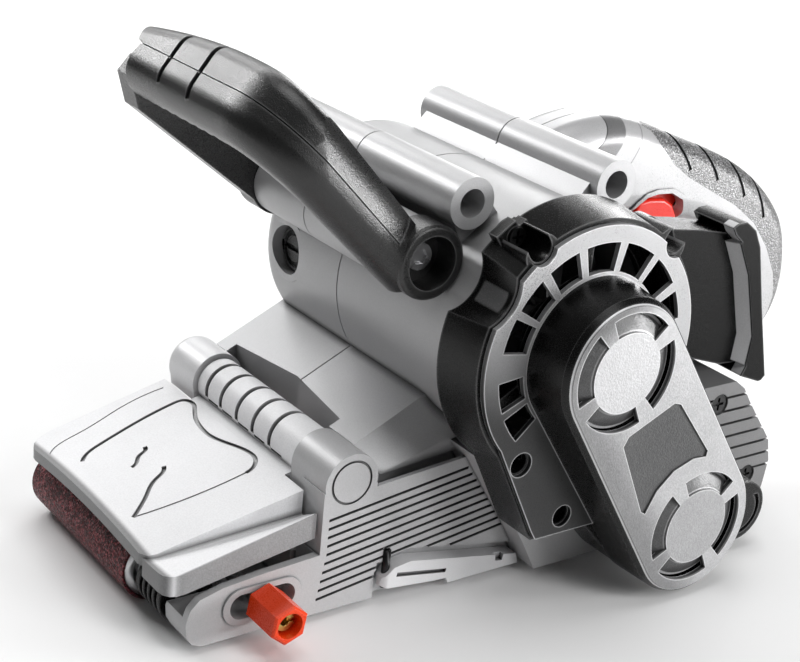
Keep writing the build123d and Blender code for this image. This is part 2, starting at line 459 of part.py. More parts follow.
# first toothed belt stage under the cover
put("motor_pulley", ring_y(X_MOT, Z_MOT, M_R_PUL, 4.0, -119.0, -108.0) + ring_y(X_MOT, Z_MOT, M_R_PUL + 2.2, 4.0, -108.0, -107.0))
j_pul = ring_y(X_JACK, Z_JACK, J_R_PUL, 4.0, -119.0, -108.0)
for k in range(5):
    j_pul -= cyl_y(*polar(X_JACK, Z_JACK, 12.2, k * 2 * math.pi / 5), 3.4, -130, -100)
put("jack_pulley", j_pul)
put("jack_shaft", cyl_y(X_JACK, Z_JACK, 4.0, -119.6, -66.4))
put("jack_pinion", ring_y(X_JACK, Z_JACK, J_R_PIN, 4.0, -84.0, -76.0))
t1 = hull2(X_MOT, Z_MOT, M_R_PUL + CLR + 1.5, X_JACK, Z_JACK, J_R_PUL + CLR + 1.5)
t1i = hull2(X_MOT, Z_MOT, M_R_PUL + CLR, X_JACK, Z_JACK, J_R_PUL + CLR)
put("toothed_belt_a", ext_xz(t1, -118.0, -109.0) - ext_xz(t1i, -119, -108))
t2 = hull2(X_JACK, Z_JACK, J_R_PIN + CLR + 1.4, X_DRIVE, Z_DRIVE, D_R_PUL + CLR + 1.4)
t2i = hull2(X_JACK, Z_JACK, J_R_PIN + CLR, X_DRIVE, Z_DRIVE, D_R_PUL + CLR)
put("toothed_belt_b", ext_xz(t2, -83.4, -76.6) - ext_xz(t2i, -85, -75))

# ------------------------------------------------------------------
# Motor inside the housing
# ------------------------------------------------------------------
stator = ring_y(X_MOT, Z_MOT, 41.9, 25.6, -58.0, 6.0)
for k in (0, 1):
    a = 90 + 180 * k
    stator -= ext_xz(sector(X_MOT, Z_MOT, 24.0, 34.0, a - 32, a + 32), -70, 20)
put("stator", stator)
core_a = cyl_y(X_MOT, Z_MOT, 24.8, -54.0, 2.0) - cyl_y(X_MOT, Z_MOT, 4.0, -60, 10)
for k in range(12):
    p = polar(X_MOT, Z_MOT, 22.6, math.radians(30 * k))
    core_a -= cyl_y(p[0], p[1], 1.7, -60, 10)
put("armature_core", core_a)
put("armature_shaft", cyl_y(X_MOT, Z_MOT, 4.0, -119.6, 35.6))
comm = ring_y(X_MOT, Z_MOT, 12.0, 4.0, 12.0, 29.0)
for k in range(12):
    a = math.radians(30 * k + 15)
    p = polar(X_MOT, Z_MOT, 12.0, a)
    comm -= Pos(p[0], 20.0, p[1]) * Rot(0, -math.degrees(a), 0) * Box(2.0, 20.0, 0.6)
put("commutator", comm)
fan = ring_y(X_MOT, Z_MOT, 38.0, 4.0, -66.0, -64.0) + ring_y(X_MOT, Z_MOT, 9.0, 4.0, -80.0, -64.0)
for k in range(10):
    a = math.radians(36 * k)
    p, q = polar(X_MOT, Z_MOT, 8.0, a), polar(X_MOT, Z_MOT, 37.6, a + 0.35)
    nx, nz = -(q[1] - p[1]), q[0] - p[0]
    nl = math.hypot(nx, nz)
    nx, nz = nx / nl * 0.8, nz / nl * 0.8
    fan += ext_poly([(p[0] + nx, p[1] + nz), (q[0] + nx, q[1] + nz), (q[0] - nx, q[1] - nz), (p[0] - nx, p[1] - nz)], -78.0, -65.0)
fan = fan - cyl_y(X_MOT, Z_MOT, 4.0, -90, 0)
put("cooling_fan", fan)

bearings = [ring_y(X_MOT, Z_MOT, 8.0, 4.05, 30.5, 35.8), ring_y(X_MOT, Z_MOT, 11.0, 4.05, -95.8, -88.0),
            ring_y(X_JACK, Z_JACK, 9.0, 4.05, -74.0, -66.2), ring_y(X_JACK, Z_JACK, 9.0, 4.05, -104.0, -97.2),
            ring_y(X_DRIVE, Z_DRIVE, 11.0, 5.05, -74.0, -66.2), ring_y(X_DRIVE, Z_DRIVE, 8.0, 5.05, -98.8, -93.0)]
put("ball_bearings", group(bearings))

brushes, holders, caps = [], [], []
for sgn in (-1, 1):
    def span(r0, r1, sgn=sgn):
        a, b = X_MOT + sgn * r0, X_MOT + sgn * r1
        return min(a, b), max(a, b)
    x0, x1 = span(12.35, 30.0)
    brushes.append(box(x0, x1, 18.0, 25.0, Z_MOT - 3.0, Z_MOT + 3.0))
    x0, x1 = span(15.0, 37.0)
    h = cyl_x(21.5, Z_MOT, 6.0, x0, x1)
    h -= box(x0 - 1, x1 + 1, 17.9, 25.1, Z_MOT - 3.1, Z_MOT + 3.1)
    holders.append(h)
    x0, x1 = span(37.0, 41.0)
    c = cyl_x(21.5, Z_MOT, 8.6, x0, x1)
    xs0, xs1 = span(39.6, 43.0)
    c -= box(xs0, xs1, 13.0, 30.0, Z_MOT - 1.0, Z_MOT + 1.0)
    c -= cyl_x(21.5, Z_MOT, 7.4, *span(40.2, 43.0)) - cyl_x(21.5, Z_MOT, 5.4, *span(40.2, 43.0))
    caps.append(c)
put("carbon_brushes", group(brushes))
put("brush_holders", group(holders))
put("brush_caps", group(caps))

# ------------------------------------------------------------------
# Rear handle: two shells, soft grip, switch, trigger
# ------------------------------------------------------------------
H_OUT = [(64.0, 150.0), (84.0, 155.6), (102.0, 156.2), (130.0, 147.6), (160.0, 136.6), (184.0, 124.6), (199.0, 112.8),
         (208.5, 101.0), (213.0, 89.0), (214.8, 77.0), (213.6, 64.6), (207.5, 52.5), (195.0, 45.2), (164.0, 43.6), (121.0, 43.6)]
H_IN = [(121.0, 66.6), (160.0, 66.6), (174.0, 67.2), (182.5, 70.4), (186.6, 78.4), (181.5, 88.6), (167.0, 100.4), (149.0, 107.6),
        (124.0, 114.0), (100.0, 115.0), (64.0, 112.0)]
H_HALF, H_ROUND = 15.5, 10.0
X_TRIG, Z_TRIG = 109.0, 122.4           # trigger pin


def inset(pts, d, inside):
    """Shift an open chain sideways by d (positive to its right)."""
    out = []
    for k, p in enumerate(pts):
        a = pts[max(0, k - 1)]
        b = pts[min(len(pts) - 1, k + 1)]
        tx, tz = b[0] - a[0], b[1] - a[1]
        tl = math.hypot(tx, tz)
        out.append((p[0] + tz / tl * d, p[1] - tx / tl * d))
    return out


def handle_solid(d, rnd):
    o, i = inset(H_OUT, d, 1), inset(H_IN, d, 1)
    f = make_face([Spline(*o), Line(o[-1], i[0]), Spline(*i), Line(i[-1], o[0])])
    s = ext_xz(f, Y_HAN - H_HALF + d, Y_HAN + H_HALF - d)
    if rnd > 0:
        es = [e for e in s.edges() if e.bounding_box().size.Y < 1e-3 and e.length > 100]
        s = fillet(es, rnd)
    return s


outer_h = handle_solid(0.0, H_ROUND)
mid_h = handle_solid(2.0, H_ROUND - 2.0)
inner_h = handle_solid(4.4, 3.0)
grip_zone = ext_poly([(112.0, 170.0), (114.4, 151.8), (118.8, 149.5), (123.3, 143.3), (130.8, 135.6), (141.6, 128.5), (157.1, 120.8),
                      (171.4, 113.6), (185.2, 104.1), (195.6, 92.0), (203.4, 78.8), (206.3, 67.2), (204.9, 60.7), (203.0, 50.0),
                      (240.0, 40.0), (250.0, 170.0)], -60, 30)
skin = outer_h - mid_h
grip = skin & grip_zone
shells = outer_h - inner_h
shells -= grip
for (x0, z0, x1, z1) in ((127.0, 156.0, 141.0, 132.0), (146.0, 150.0, 158.0, 126.0), (165.0, 143.0, 176.0, 117.0), (180.0, 136.0, 190.5, 106.0)):
    dx, dz = x1 - x0, z1 - z0
    dl = math.hypot(dx, dz)
    ox, oz = -dz / dl * 0.8, dx / dl * 0.8
    grip -= ext_poly([(x0 + ox, z0 + oz), (x1 + ox, z1 + oz), (x1 - ox, z1 - oz), (x0 - ox, z0 - oz)], -60, 30) - handle_solid(0.9, H_ROUND - 0.9)
housing_zone = cyl_y(X_MOT, Z_MOT, R_HOUS, Y_CASE, Y_FAR) + cyl_y(X_TUBE2, Z_TUBE, R_TUBE, Y_TUBE0, Y_TUBE1)
shells -= housing_zone
shells -= hous
shells -= ext_poly(hood_pts[:10] + [(120.0, 5.0)], Y_WALL_IN, 42.0)
shells -= box(100, 121.0, -100, 60, 40, 75)
# window of the trigger with a raised rim, open towards the loop
win = poly([(114.2, 98.0), (114.2, 115.6), (115.4, 120.0), (118.6, 122.8), (124.0, 123.8), (132.0, 123.4), (138.6, 119.9), (141.6, 113.4),
            (142.8, 106.0), (143.2, 98.0)])
rim = handle_solid(-0.8, H_ROUND + 0.8) & ext_xz(offset(win, 1.9), -60, 30)
shells += rim - inner_h - grip_zone
shells -= ext_xz(win, -60, 30)
shells -= cyl_y(X_TRIG, Z_TRIG, 1.5, Y_HAN - 13.0, Y_HAN + 13.0)
# parting line
shells -= (outer_h - handle_solid(0.7, H_ROUND - 0.7)) & box(60.0, 230.0, Y_HAN - 0.25, Y_HAN + 0.25, 0.0, 250.0)
# cord inlet at the lower rear end
shells -= cyl_x(Y_HAN, 55.0, 6.5, 194.0, 235.0)
put("handle_near", (shells & box(-200, 300, -80, Y_HAN, 0, 250)))
put("handle_far", (shells & box(-200, 300, Y_HAN, 60, 0, 250)))
grip -= cyl_x(Y_HAN, 55.0, 6.5, 194.0, 235.0)
put("handle_grip", grip)
inlet = cyl_x(Y_HAN, 55.0, 6.5, 198.0, 207.4) - cyl_x(Y_HAN, 55.0, 4.2, 190.0, 240.0)
put("cord_inlet", inlet)
put("switch_body", box(122.0, 150.0, Y_HAN - 7.5, Y_HAN + 7.5, 127.4, 139.0) & inner_h)

trigger = ext_poly([(115.4, 118.2), (118.0, 120.4), (123.0, 121.0), (131.0, 120.2), (136.2, 117.2), (139.0, 112.4), (139.6, 106.0),
                    (136.5, 103.2), (128.0, 104.4), (119.0, 106.6), (115.6, 110.0)], Y_HAN - 13.6, Y_HAN + 13.6)
trigger = fillet(trigger.edges().group_by(Axis.Y)[0] + trigger.edges().group_by(Axis.Y)[-1], 1.6)
trigger += ext_poly([(105.6, 125.4), (105.6, 121.0), (114.8, 121.0), (116.6, 118.5), (126.0, 118.5), (126.0, 122.5), (118.0, 125.4)],
                    Y_HAN - 8.0, Y_HAN + 8.0)
trigger += ext_poly([(117.0, 121.0), (119.4, 124.0), (126.0, 124.6), (134.0, 124.0), (140.6, 121.4), (144.0, 119.2), (144.0, 118.0),
                     (140.2, 117.2), (138.0, 111.4), (136.0, 106.0), (119.0, 108.0)], Y_HAN - 10.2, Y_HAN + 10.2)
trigger -= cyl_y(X_TRIG, Z_TRIG, 1.56, -60, 60)
put("trigger", trigger)
put("trigger_pin", cyl_y(X_TRIG, Z_TRIG, 1.5, Y_HAN - 13.0, Y_HAN + 13.0))

# ------------------------------------------------------------------
# Dust outlet beside the handle
# ------------------------------------------------------------------
duct = ext_poly([(90.0, 127.0), (105.0, 125.0), (121.0, 121.8), (131.5, 105.0), (140.5, 77.7), (140.0, 64.5), (128.5, 65.3), (114.0, 69.9),
                 (96.0, 76.5), (66.0, 88.0), (66.0, 104.0), (97.5, 110.0)], -74.0, -58.0)
# collar round the mouth, standing out on the near side and on top
duct += ext_poly([(117.0, 126.0), (119.5, 127.4), (124.0, 127.7), (129.7, 123.6), (133.9, 116.2), (141.1, 90.5), (150.6, 58.9),
                  (148.8, 57.1), (146.9, 56.9), (136.2, 61.0), (138.5, 65.5), (139.6, 77.7), (131.0, 105.0), (123.2, 119.5),
                  (119.0, 123.0)], -80.0, -58.0)
slant_a = [(122.6, 119.3), (130.4, 105.0), (139.0, 77.7), (138.0, 65.4), (140.6, 64.0), (142.6, 77.7), (134.0, 105.0), (126.0, 119.5)]
slant_b = [(119.4, 119.0), (127.0, 105.0), (135.4, 77.7), (134.6, 66.4), (140.6, 64.0), (142.6, 77.7), (134.0, 105.0), (126.0, 119.5)]
duct += loft([xz_plane(-79.9) * poly(slant_a), xz_plane(-73.9) * poly(slant_b)], ruled=True)
duct -= ext_poly([(60.0, 95.0), (97.0, 79.5), (114.8, 73.0), (129.0, 68.4), (141.0, 66.5), (175.0, 66.5), (175.0, 116.0), (127.0, 116.0),
                  (120.5, 118.3), (104.5, 121.8), (97.0, 122.6), (101.0, 109.5), (60.0, 98.5)], -72.0, -60.0)
duct -= hous
duct -= case
duct -= housing_zone
put("dust_outlet", duct)

# ------------------------------------------------------------------
# Front cover, hinged at its rear edge
# ------------------------------------------------------------------
SN, CS = math.sin(math.radians(COV_SLOPE)), math.cos(math.radians(COV_SLOPE))
COV = Plane(origin=(-60.0, 0.0, 47.0), x_dir=(0, 1, 0), z_dir=(-SN, 0, CS))


def yz_section(x, top, bot):
    """Closed section across the cover: an upper and a lower arc through three (Y, Z) points each."""
    f = make_face([ThreePointArc(*top), Line(top[2], bot[0]), ThreePointArc(*bot), Line(bot[2], top[0])])
    return Plane(origin=(x, 0, 0), x_dir=(0, 1, 0), z_dir=(1, 0, 0)) * f


def yz_poly(x, pts):
    return Plane(origin=(x, 0, 0), x_dir=(0, 1, 0), z_dir=(1, 0, 0)) * poly(pts)


def plan_cut(pts):
    return Pos(0, 0, 5.0) * extrude(poly(pts), 60)


# crowned top panel with a low arched front lip
panel = loft([yz_section(-60.6, ((-68.0, 46.7), (-11.0, 46.95), (41.0, 46.7)), ((41.0, 36.4), (-11.0, 36.6), (-68.0, 36.4))),
              yz_section(-117.5, ((-68.0, 28.85), (-11.0, 32.9), (41.0, 29.5)), ((41.0, 25.2), (-11.0, 28.6), (-68.0, 24.5)))], ruled=True)
fc = panel & plan_cut([(-60.6, -65.1), (-75.0, -63.0), (-89.0, -61.2), (-105.0, -59.3), (-113.0, -58.6), (-115.8, -57.4), (-117.5, -54.0),
                       (-117.5, 29.5), (-117.0, 32.4), (-115.6, 35.2), (-113.2, 37.4), (-110.4, 38.5), (-107.0, 38.9), (-84.6, 38.0),
                       (-60.6, 37.0)])
# near shoulder, lower than the panel towards the hinge
should = loft([yz_poly(-60.6, [(-74.4, 32.6), (-74.4, 42.2), (-66.0, 37.6), (-56.0, 37.6), (-56.0, 31.0)]),
               yz_poly(-117.0, [(-74.4, 22.6), (-74.4, 30.2), (-60.5, 29.4), (-56.0, 29.4), (-56.0, 22.6)])], ruled=True)
fc += should & plan_cut([(-60.6, -74.4), (-110.5, -74.4), (-113.2, -73.8), (-115.3, -72.3), (-116.6, -70.0), (-117.0, -67.2), (-117.0, -50.0),
                         (-60.6, -50.0)])
cov_outer = fc
fc -= loft([yz_section(-58.0, ((-70.0, 44.8), (-11.0, 45.0), (43.0, 44.8)), ((43.0, 20.0), (-11.0, 20.2), (-70.0, 20.0))),
            yz_section(-117.5, ((-70.0, 26.4), (-11.0, 30.6), (43.0, 27.0)), ((43.0, 9.0), (-11.0, 9.2), (-70.0, 9.0)))], ruled=True) & plan_cut(
    [(-62.6, -62.7), (-75.0, -60.8), (-89.0, -59.0), (-105.0, -57.1), (-112.4, -56.2), (-115.3, -53.0), (-115.3, 29.0), (-113.4, 33.4),
     (-109.0, 36.0), (-84.6, 35.8), (-62.6, 34.8)])
fc -= loft([yz_poly(-62.6, [(-72.3, 18.0), (-72.3, 38.8), (-66.0, 35.2), (-54.0, 35.2), (-54.0, 18.0)]),
            yz_poly(-114.6, [(-72.3, 8.0), (-72.3, 28.0), (-60.5, 27.3), (-54.0, 27.3), (-54.0, 8.0)])], ruled=True) & plan_cut(
    [(-62.6, -72.3), (-110.4, -72.3), (-113.6, -70.6), (-114.6, -67.0), (-114.6, -52.0), (-62.6, -52.0)])
# leaf and barrel of the hinge
Y_BAR0, Y_BAR1 = Y_BOSS_N + 1.6, Y_BOSS_F - 1.5
leaf = ext_poly([(-61.5, 46.55), (-56.2, 48.05), (-50.0, 52.0), (-47.0, 50.0), (-50.0, 43.4), (-61.5, 41.0)], Y_BAR0, Y_BAR1)
leaf += cyl_y(X_HNG, Z_HNG, R_BARREL, Y_BAR0, Y_BAR1)
for yy in (9.5, -1.0, -12.8, -24.3, -36.1):
    leaf -= ring_y(X_HNG, Z_HNG, 20.0, 6.7, yy - 1.1, yy + 1.1) & box(-60.0, -30.0, -60, 60, 50.0, 70)
    leaf -= box(-58.2, -56.1, yy - 8.4, yy - 1.1, 48.9, 49.9)
fc += leaf
fc -= cyl_y(X_HNG, Z_HNG, R_PIN + 0.06, -80, 60)


def groove(pts, width):
    """Shallow groove along a smooth line given in the slope plane."""
    return COV * extrude(Pos(0, 0, -6.0) * trace(Spline(*pts), line_width=width), 12.0, dir=(0, 0, 1))


lowered = Pos(SN * 1.1, 0, -CS * 1.1) * cov_outer
RELIEF = [[(7.5, 50.6), (11.4, 46.6), (13.6, 40.0), (17.2, 22.0), (18.4, 8.0), (17.4, 3.0), (13.6, 1.4), (8.0, 3.2), (2.7, 5.8),
           (-4.0, 7.4), (-10.6, 7.8), (-17.0, 6.6), (-23.2, 4.6), (-31.4, 2.6), (-36.3, 3.0), (-40.0, 5.6), (-41.6, 10.0)],
          [(-9.4, 39.0), (-8.2, 36.4), (-4.6, 33.4), (-3.4, 30.6), (-0.8, 29.2)],
          [(-36.6, 52.4), (-34.4, 49.6), (-28.6, 43.0), (-22.6, 36.6), (-20.2, 32.0), (-17.2, 30.0)]]
for chain in RELIEF:
    fc -= groove(chain, 1.7) - lowered
fc -= groove([(-41.6, 10.0), (-41.1, 24.0), (-38.0, 46.0), (-36.6, 52.4)], 0.8) - Pos(SN * 0.4, 0, -CS * 0.4) * cov_outer
fc -= groove([(22.0, 57.0), (24.5, 54.6), (27.6, 41.5), (31.8, 21.8), (31.5, 4.2)], 0.7) - Pos(SN * 0.35, 0, -CS * 0.35) * cov_outer
put("front_cover", fc)

# ------------------------------------------------------------------
# Front bail handle, leaning 45 degrees forward, in two halves
# ------------------------------------------------------------------
R2 = math.sqrt(0.5)
BAIL = Plane(origin=(X_BAIL, 0.0, Z_BAIL), x_dir=(0, 1, 0), z_dir=(R2, 0, R2))
RO, RI = 30.0, 21.0                     # outer and inner bend radius
Y_BN, Y_BI, A_BI, A_BO = -76.5, -64.2, 69.5, 83.0
N_LOW, N_SLOPE = -15.4, -0.03           # lower face, falling away from the pivot
Y_BE, Y_BL = 27.6, 19.2                 # far ends of the crossbar, lip and body


def arc_corner(c, r, a0, a1):
    """Three points of a quarter arc about c."""
    return [(c[0] + r * math.cos(math.radians(a)), c[1] + r * math.sin(math.radians(a))) for a in (a0, (a0 + a1) / 2, a1)]


def n_low(a):
    return N_LOW + N_SLOPE * a


def along(e, test):
    return all(test(e @ t) for t in (0.05, 0.35, 0.65, 0.95))


def on_outer(q):
    if q.Y <= A_BO - RO:
        return abs(q.X - Y_BN) < 0.05
    if q.X >= Y_BN + RO:
        return abs(q.Y - A_BO) < 0.05
    return abs(math.hypot(q.X - Y_BN - RO, q.Y - A_BO + RO) - RO) < 0.05


def on_inner(q):
    if q.Y <= A_BI - RI:
        return abs(q.X - Y_BI) < 0.05
    if q.X >= Y_BI + RI:
        return abs(q.Y - A_BI) < 0.05
    return abs(math.hypot(q.X - Y_BI - RI, q.Y - A_BI + RI) - RI) < 0.05


o3 = arc_corner((Y_BN + RO, A_BO - RO), RO, 180, 90)
i3 = arc_corner((Y_BI + RI, A_BI - RI), RI, 90, 180)
prof = make_face([Line((Y_BN, -1.0), o3[0]), ThreePointArc(*o3), Line(o3[2], (Y_BE, A_BO)), Line((Y_BE, A_BO), (Y_BE, A_BI)),
                  Line((Y_BE, A_BI), i3[0]), ThreePointArc(*i3), Line(i3[2], (Y_BI, -1.0)), Line((Y_BI, -1.0), (Y_BN, -1.0))])
strap = extrude(Pos(0, 0, -40.0) * prof, 70, dir=(0, 0, 1))
strap -= Pos(0, 0, N_LOW) * Rot(math.degrees(math.atan(N_SLOPE)), 0, 0) * Pos(-25.0, 40.0, -20.0) * Box(200.0, 200.0, 40.0)
# swelling upper face
strap = strap & (Pos(-30.0, 0, 7.8 - 320.0) * Rot(2.06, 0, 0) * Rot(90, 0, 0) * Cylinder(320.0, 400.0))
for side, low, rad in ((on_outer, True, 9.7), (on_inner, True, 2.0), (on_outer, False, 7.6), (on_inner, False, 2.0)):
    es = [e for e in strap.edges() if e.length > 15 and along(e, side) and along(e, lambda q: (abs(q.Z - n_low(q.Y)) < 0.06) == low)
          and abs((e @ 0.1).Z - (e @ 0.9).Z) < 12]
    strap = fillet(es, rad)
# crowned outer side of the near leg
strap -= box(-110.0, -60.0, -20.0, 120.0, -9.0, 40.0) - cyl_y(-54.5, -9.0, 22.0, -21.0, 121.0)
shape0 = strap
# finger grooves along the inner lower edge, fine ribs on the near leg
for k in range(9):
    strap -= Pos(16.0 - 6.6 * k, A_BI - 0.4, n_low(A_BI) - 0.4) * Sphere(3.1)
for k in range(14):
    a = 11.0 + 2.2 * k
    strap -= Pos(Y_BI, a, n_low(a)) * Rot(0, 45, 0) * Box(3.4, 1.0, 3.4)
# two oblique slots round the crossbar
for (ya, na, yb, nb) in ((0.6, 10.0, -4.2, -13.2), (-19.2, 10.0, -24.5, -13.5)):
    slot = Pos((ya + yb) / 2, A_BO, (na + nb) / 2) * Rot(0, math.degrees(math.atan2(ya - yb, na - nb)), 0) * Box(
        2.6, 9.0, math.hypot(ya - yb, na - nb))
    strap -= slot - Pos(0, -1.4, -1.0) * shape0
# far leg, joined to the inner end of the crossbar
leg = extrude(Plane(origin=(20.2, 0, 0), x_dir=(0, 1, 0), z_dir=(1, 0, 0)) * poly(
    [(-1.0, -12.2), (66.0, -20.6), (76.6, -14.7), (77.2, -7.2), (60.0, -6.0), (20.0, 3.5), (-1.0, 4.5)]), 10.4)
leg += extrude(Plane(origin=(14.0, 0, 0), x_dir=(0, 1, 0), z_dir=(1, 0, 0)) * poly(
    [(69.8, -16.6), (76.4, -14.5), (77.0, -7.4), (69.8, -6.9)]), 7.0)
# stepped far end: the upper lip reaches over the leg
strap -= ext_poly([(22.3, -3.2), (27.2, 4.6), (29.5, 9.0), (29.5, 14.0), (45.0, 14.0), (45.0, -45.0), (Y_BL, -45.0), (Y_BL, -3.2)], 40.0, 110.0)
# parting line of the two halves
strap -= Pos(-25.0, 63.0, -4.0) * Box(140.0, 94.0, 0.5) - Pos(0.7, -0.7, 0) * shape0
eye_n = Pos((Y_BN + Y_BI) / 2, 0, 0) * Rot(0, 90, 0) * Cylinder(R_EYE, Y_BI - Y_BN)
eye_n = fillet(eye_n.edges().group_by(Axis.X)[0], 1.6)
eye_f = Pos(25.4, 0, 0) * Rot(0, 90, 0) * Cylinder(R_EYE, 10.4)
bail = strap + leg + eye_n + eye_f
bail -= Pos(-71.8, 0, 0) * Rot(0, 90, 0) * Cylinder(9.6, 11.2)
bail -= Pos(29.4, 0, 0) * Rot(0, 90, 0) * Cylinder(9.6, 5.4)
bail -= Rot(0, 90, 0) * Cylinder(4.06, 300.0)
upper_zone = Pos(-51.0, 60.0, 20.0 - 4.0) * Box(140.0, 88.0, 40.0) + Pos(25.0, 85.0, 20.0 - 4.0) * Box(16.0, 38.0, 40.0)
bail_top = bail & upper_zone
bail_low = bail - upper_zone
put("bail_upper", BAIL * bail_top)
put("bail_lower", BAIL * bail_low)
bolt = cyl_y(X_BAIL, Z_BAIL, 4.0, -67.6, 28.0)
bolt += cyl_y(X_BAIL, Z_BAIL, 4.9, -69.2, -66.5)
bolt += cyl_y(X_BAIL, Z_BAIL, 4.9, 27.1, 29.6)
bolt -= ext_xz(Pos(X_BAIL, Z_BAIL) * RegularPolygon(radius=3.0, side_count=6), -75, -67.8)
put("bail_bolt", bolt)

# ------------------------------------------------------------------
# Screws
# ------------------------------------------------------------------
scr = []
for (x, z) in ((118.5, 54.6), (142.0, 18.6)):
    s = cyl_y(x, z, 4.2, -86.4, -84.2) + cyl_y(x, z, 2.0, -85.0, -73.5)
    s -= ext_xz(Pos(x, z) * Rectangle(5.4, 1.1), -88, -85.4) + ext_xz(Pos(x, z) * Rectangle(1.1, 5.4), -88, -85.4)
    scr.append(s)
put("base_screws", group(scr))
scr = []
for ang, y1 in CHANNEL:
    x, z = polar(X_MOT, Z_MOT, 49.6, math.radians(ang))
    s = cyl_y(x, z, 3.3, -92.6, -89.6)
    s -= ext_xz(Pos(x, z) * Rectangle(4.6, 1.0), -97, -91.6) + ext_xz(Pos(x, z) * Rectangle(1.0, 4.6), -97, -91.6)
    scr.append(s)
for (x, z) in ((23.0, 37.4),):
    s = cyl_y(x, z, 3.8, -101.6, -98.0)
    s -= ext_xz(Pos(x, z) * Rot(0, 0, 35) * Rectangle(6.6, 1.3), -103, -100.2)
    scr.append(s)
put("case_screws", group(scr))

for name, shape in PARTS.items():
    export_step(shape, "parts/%s.step" % name)
print("nodes", len(PARTS))
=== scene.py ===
import json
import math

import bpy
import bmesh
from mathutils import Matrix, Vector

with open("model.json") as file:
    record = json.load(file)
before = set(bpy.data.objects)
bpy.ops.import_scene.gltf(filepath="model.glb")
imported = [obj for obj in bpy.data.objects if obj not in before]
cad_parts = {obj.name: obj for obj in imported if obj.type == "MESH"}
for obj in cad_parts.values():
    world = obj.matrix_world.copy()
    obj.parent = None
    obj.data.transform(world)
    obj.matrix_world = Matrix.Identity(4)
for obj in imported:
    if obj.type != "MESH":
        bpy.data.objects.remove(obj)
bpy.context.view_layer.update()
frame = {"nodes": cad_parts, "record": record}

NODES = frame["nodes"]
SC = bpy.context.scene


# ----------------------------------------------------------------------
# materials
# ----------------------------------------------------------------------
class Nodes:
    """A small helper round one material's node tree."""

    def __init__(self, name):
        self.mat = bpy.data.materials.new(name)
        self.mat.use_nodes = True
        self.tree = self.mat.node_tree
        self.bsdf = self.tree.nodes["Principled BSDF"]
        self.coord = self.tree.nodes.new("ShaderNodeTexCoord").outputs["Object"]

    def link(self, a, b):
        self.tree.links.new(a, b)

    def mapped(self, scale, rot=(0, 0, 0)):
        n = self.tree.nodes.new("ShaderNodeMapping")
        n.inputs["Scale"].default_value = scale
        n.inputs["Rotation"].default_value = rot
        self.link(self.coord, n.inputs["Vector"])
        return n.outputs["Vector"]

    def noise(self, scale, detail=3.0, rough=0.55, vec=None, dist=0.0):
        n = self.tree.nodes.new("ShaderNodeTexNoise")
        n.inputs["Scale"].default_value = scale
        n.inputs["Detail"].default_value = detail
        n.inputs["Roughness"].default_value = rough
        n.inputs["Distortion"].default_value = dist
        self.link(vec or self.coord, n.inputs["Vector"])
        return n.outputs["Fac"]

    def voronoi(self, scale, feature="F1", out="Distance", vec=None, randomness=1.0):
        n = self.tree.nodes.new("ShaderNodeTexVoronoi")
        n.feature = feature
        n.inputs["Scale"].default_value = scale
        n.inputs["Randomness"].default_value = randomness
        self.link(vec or self.coord, n.inputs["Vector"])
        return n.outputs[out]

    def ramp(self, fac, stops):
        n = self.tree.nodes.new("ShaderNodeValToRGB")
        el = n.color_ramp.elements
        while len(el) < len(stops):
            el.new(0.5)
        for e, (p, c) in zip(el, stops):
            e.position = p
            e.color = (*c, 1.0) if hasattr(c, "__len__") else (c, c, c, 1.0)
        self.link(fac, n.inputs["Fac"])
        return n.outputs["Color"]

    def remap(self, val, a, b, lo=0.0, hi=1.0):
        n = self.tree.nodes.new("ShaderNodeMapRange")
        n.inputs["From Min"].default_value = lo
        n.inputs["From Max"].default_value = hi
        n.inputs["To Min"].default_value = a
        n.inputs["To Max"].default_value = b
        self.link(val, n.inputs["Value"])
        return n.outputs["Result"]

    def math(self, op, a, b):
        n = self.tree.nodes.new("ShaderNodeMath")
        n.operation = op
        for i, v in enumerate((a, b)):
            if isinstance(v, (int, float)):
                n.inputs[i].default_value = v
            else:
                self.link(v, n.inputs[i])
        return n.outputs[0]

    def mix(self, fac, a, b):
        n = self.tree.nodes.new("ShaderNodeMix")
        n.data_type = "RGBA"
        for sock, v in ((n.inputs["Factor"], fac), (n.inputs["A"], a), (n.inputs["B"], b)):
            if hasattr(v, "is_linked"):
                self.link(v, sock)
            elif hasattr(v, "__len__"):
                sock.default_value = (*v, 1.0)
            else:
                sock.default_value = v
        return n.outputs["Result"]

    def bump(self, height, strength, distance, normal=None):
        n = self.tree.nodes.new("ShaderNodeBump")
        n.inputs["Strength"].default_value = strength
        n.inputs["Distance"].default_value = distance
        self.link(height, n.inputs["Height"])
        if normal is not None:
            self.link(normal, n.inputs["Normal"])
        return n.outputs["Normal"]

    def set(self, **kw):
        for k, v in kw.items():
            s = self.bsdf.inputs[k.replace("_", " ")]
            if hasattr(v, "is_linked"):
                self.link(v, s)
            elif hasattr(v, "__len__"):
                s.default_value = (*v, 1.0)
            else:
                s.default_value = v
        return self.mat


def smooth(m, val, lo, hi):
    n = m.tree.nodes.new("ShaderNodeMapRange")
    n.interpolation_type = "SMOOTHSTEP"
    n.inputs["From Min"].default_value = lo
    n.inputs["From Max"].default_value = hi
    m.link(val, n.inputs["Value"])
    return n.outputs["Result"]


def vec(m, op, a, b=None):
    n = m.tree.nodes.new("ShaderNodeVectorMath")
    n.operation = op
    for i, v in enumerate((a, b)):
        if v is None:
            continue
        if hasattr(v, "is_linked"):
            m.link(v, n.inputs[i])
        else:
            n.inputs[i].default_value = v
    return n


def along(direction, lo, hi):
    """Mask from 0 to 1 along a direction of the frame, from lo to hi metres."""
    return lambda m: smooth(m, vec(m, "DOT_PRODUCT", m.coord, direction).outputs["Value"], lo, hi)


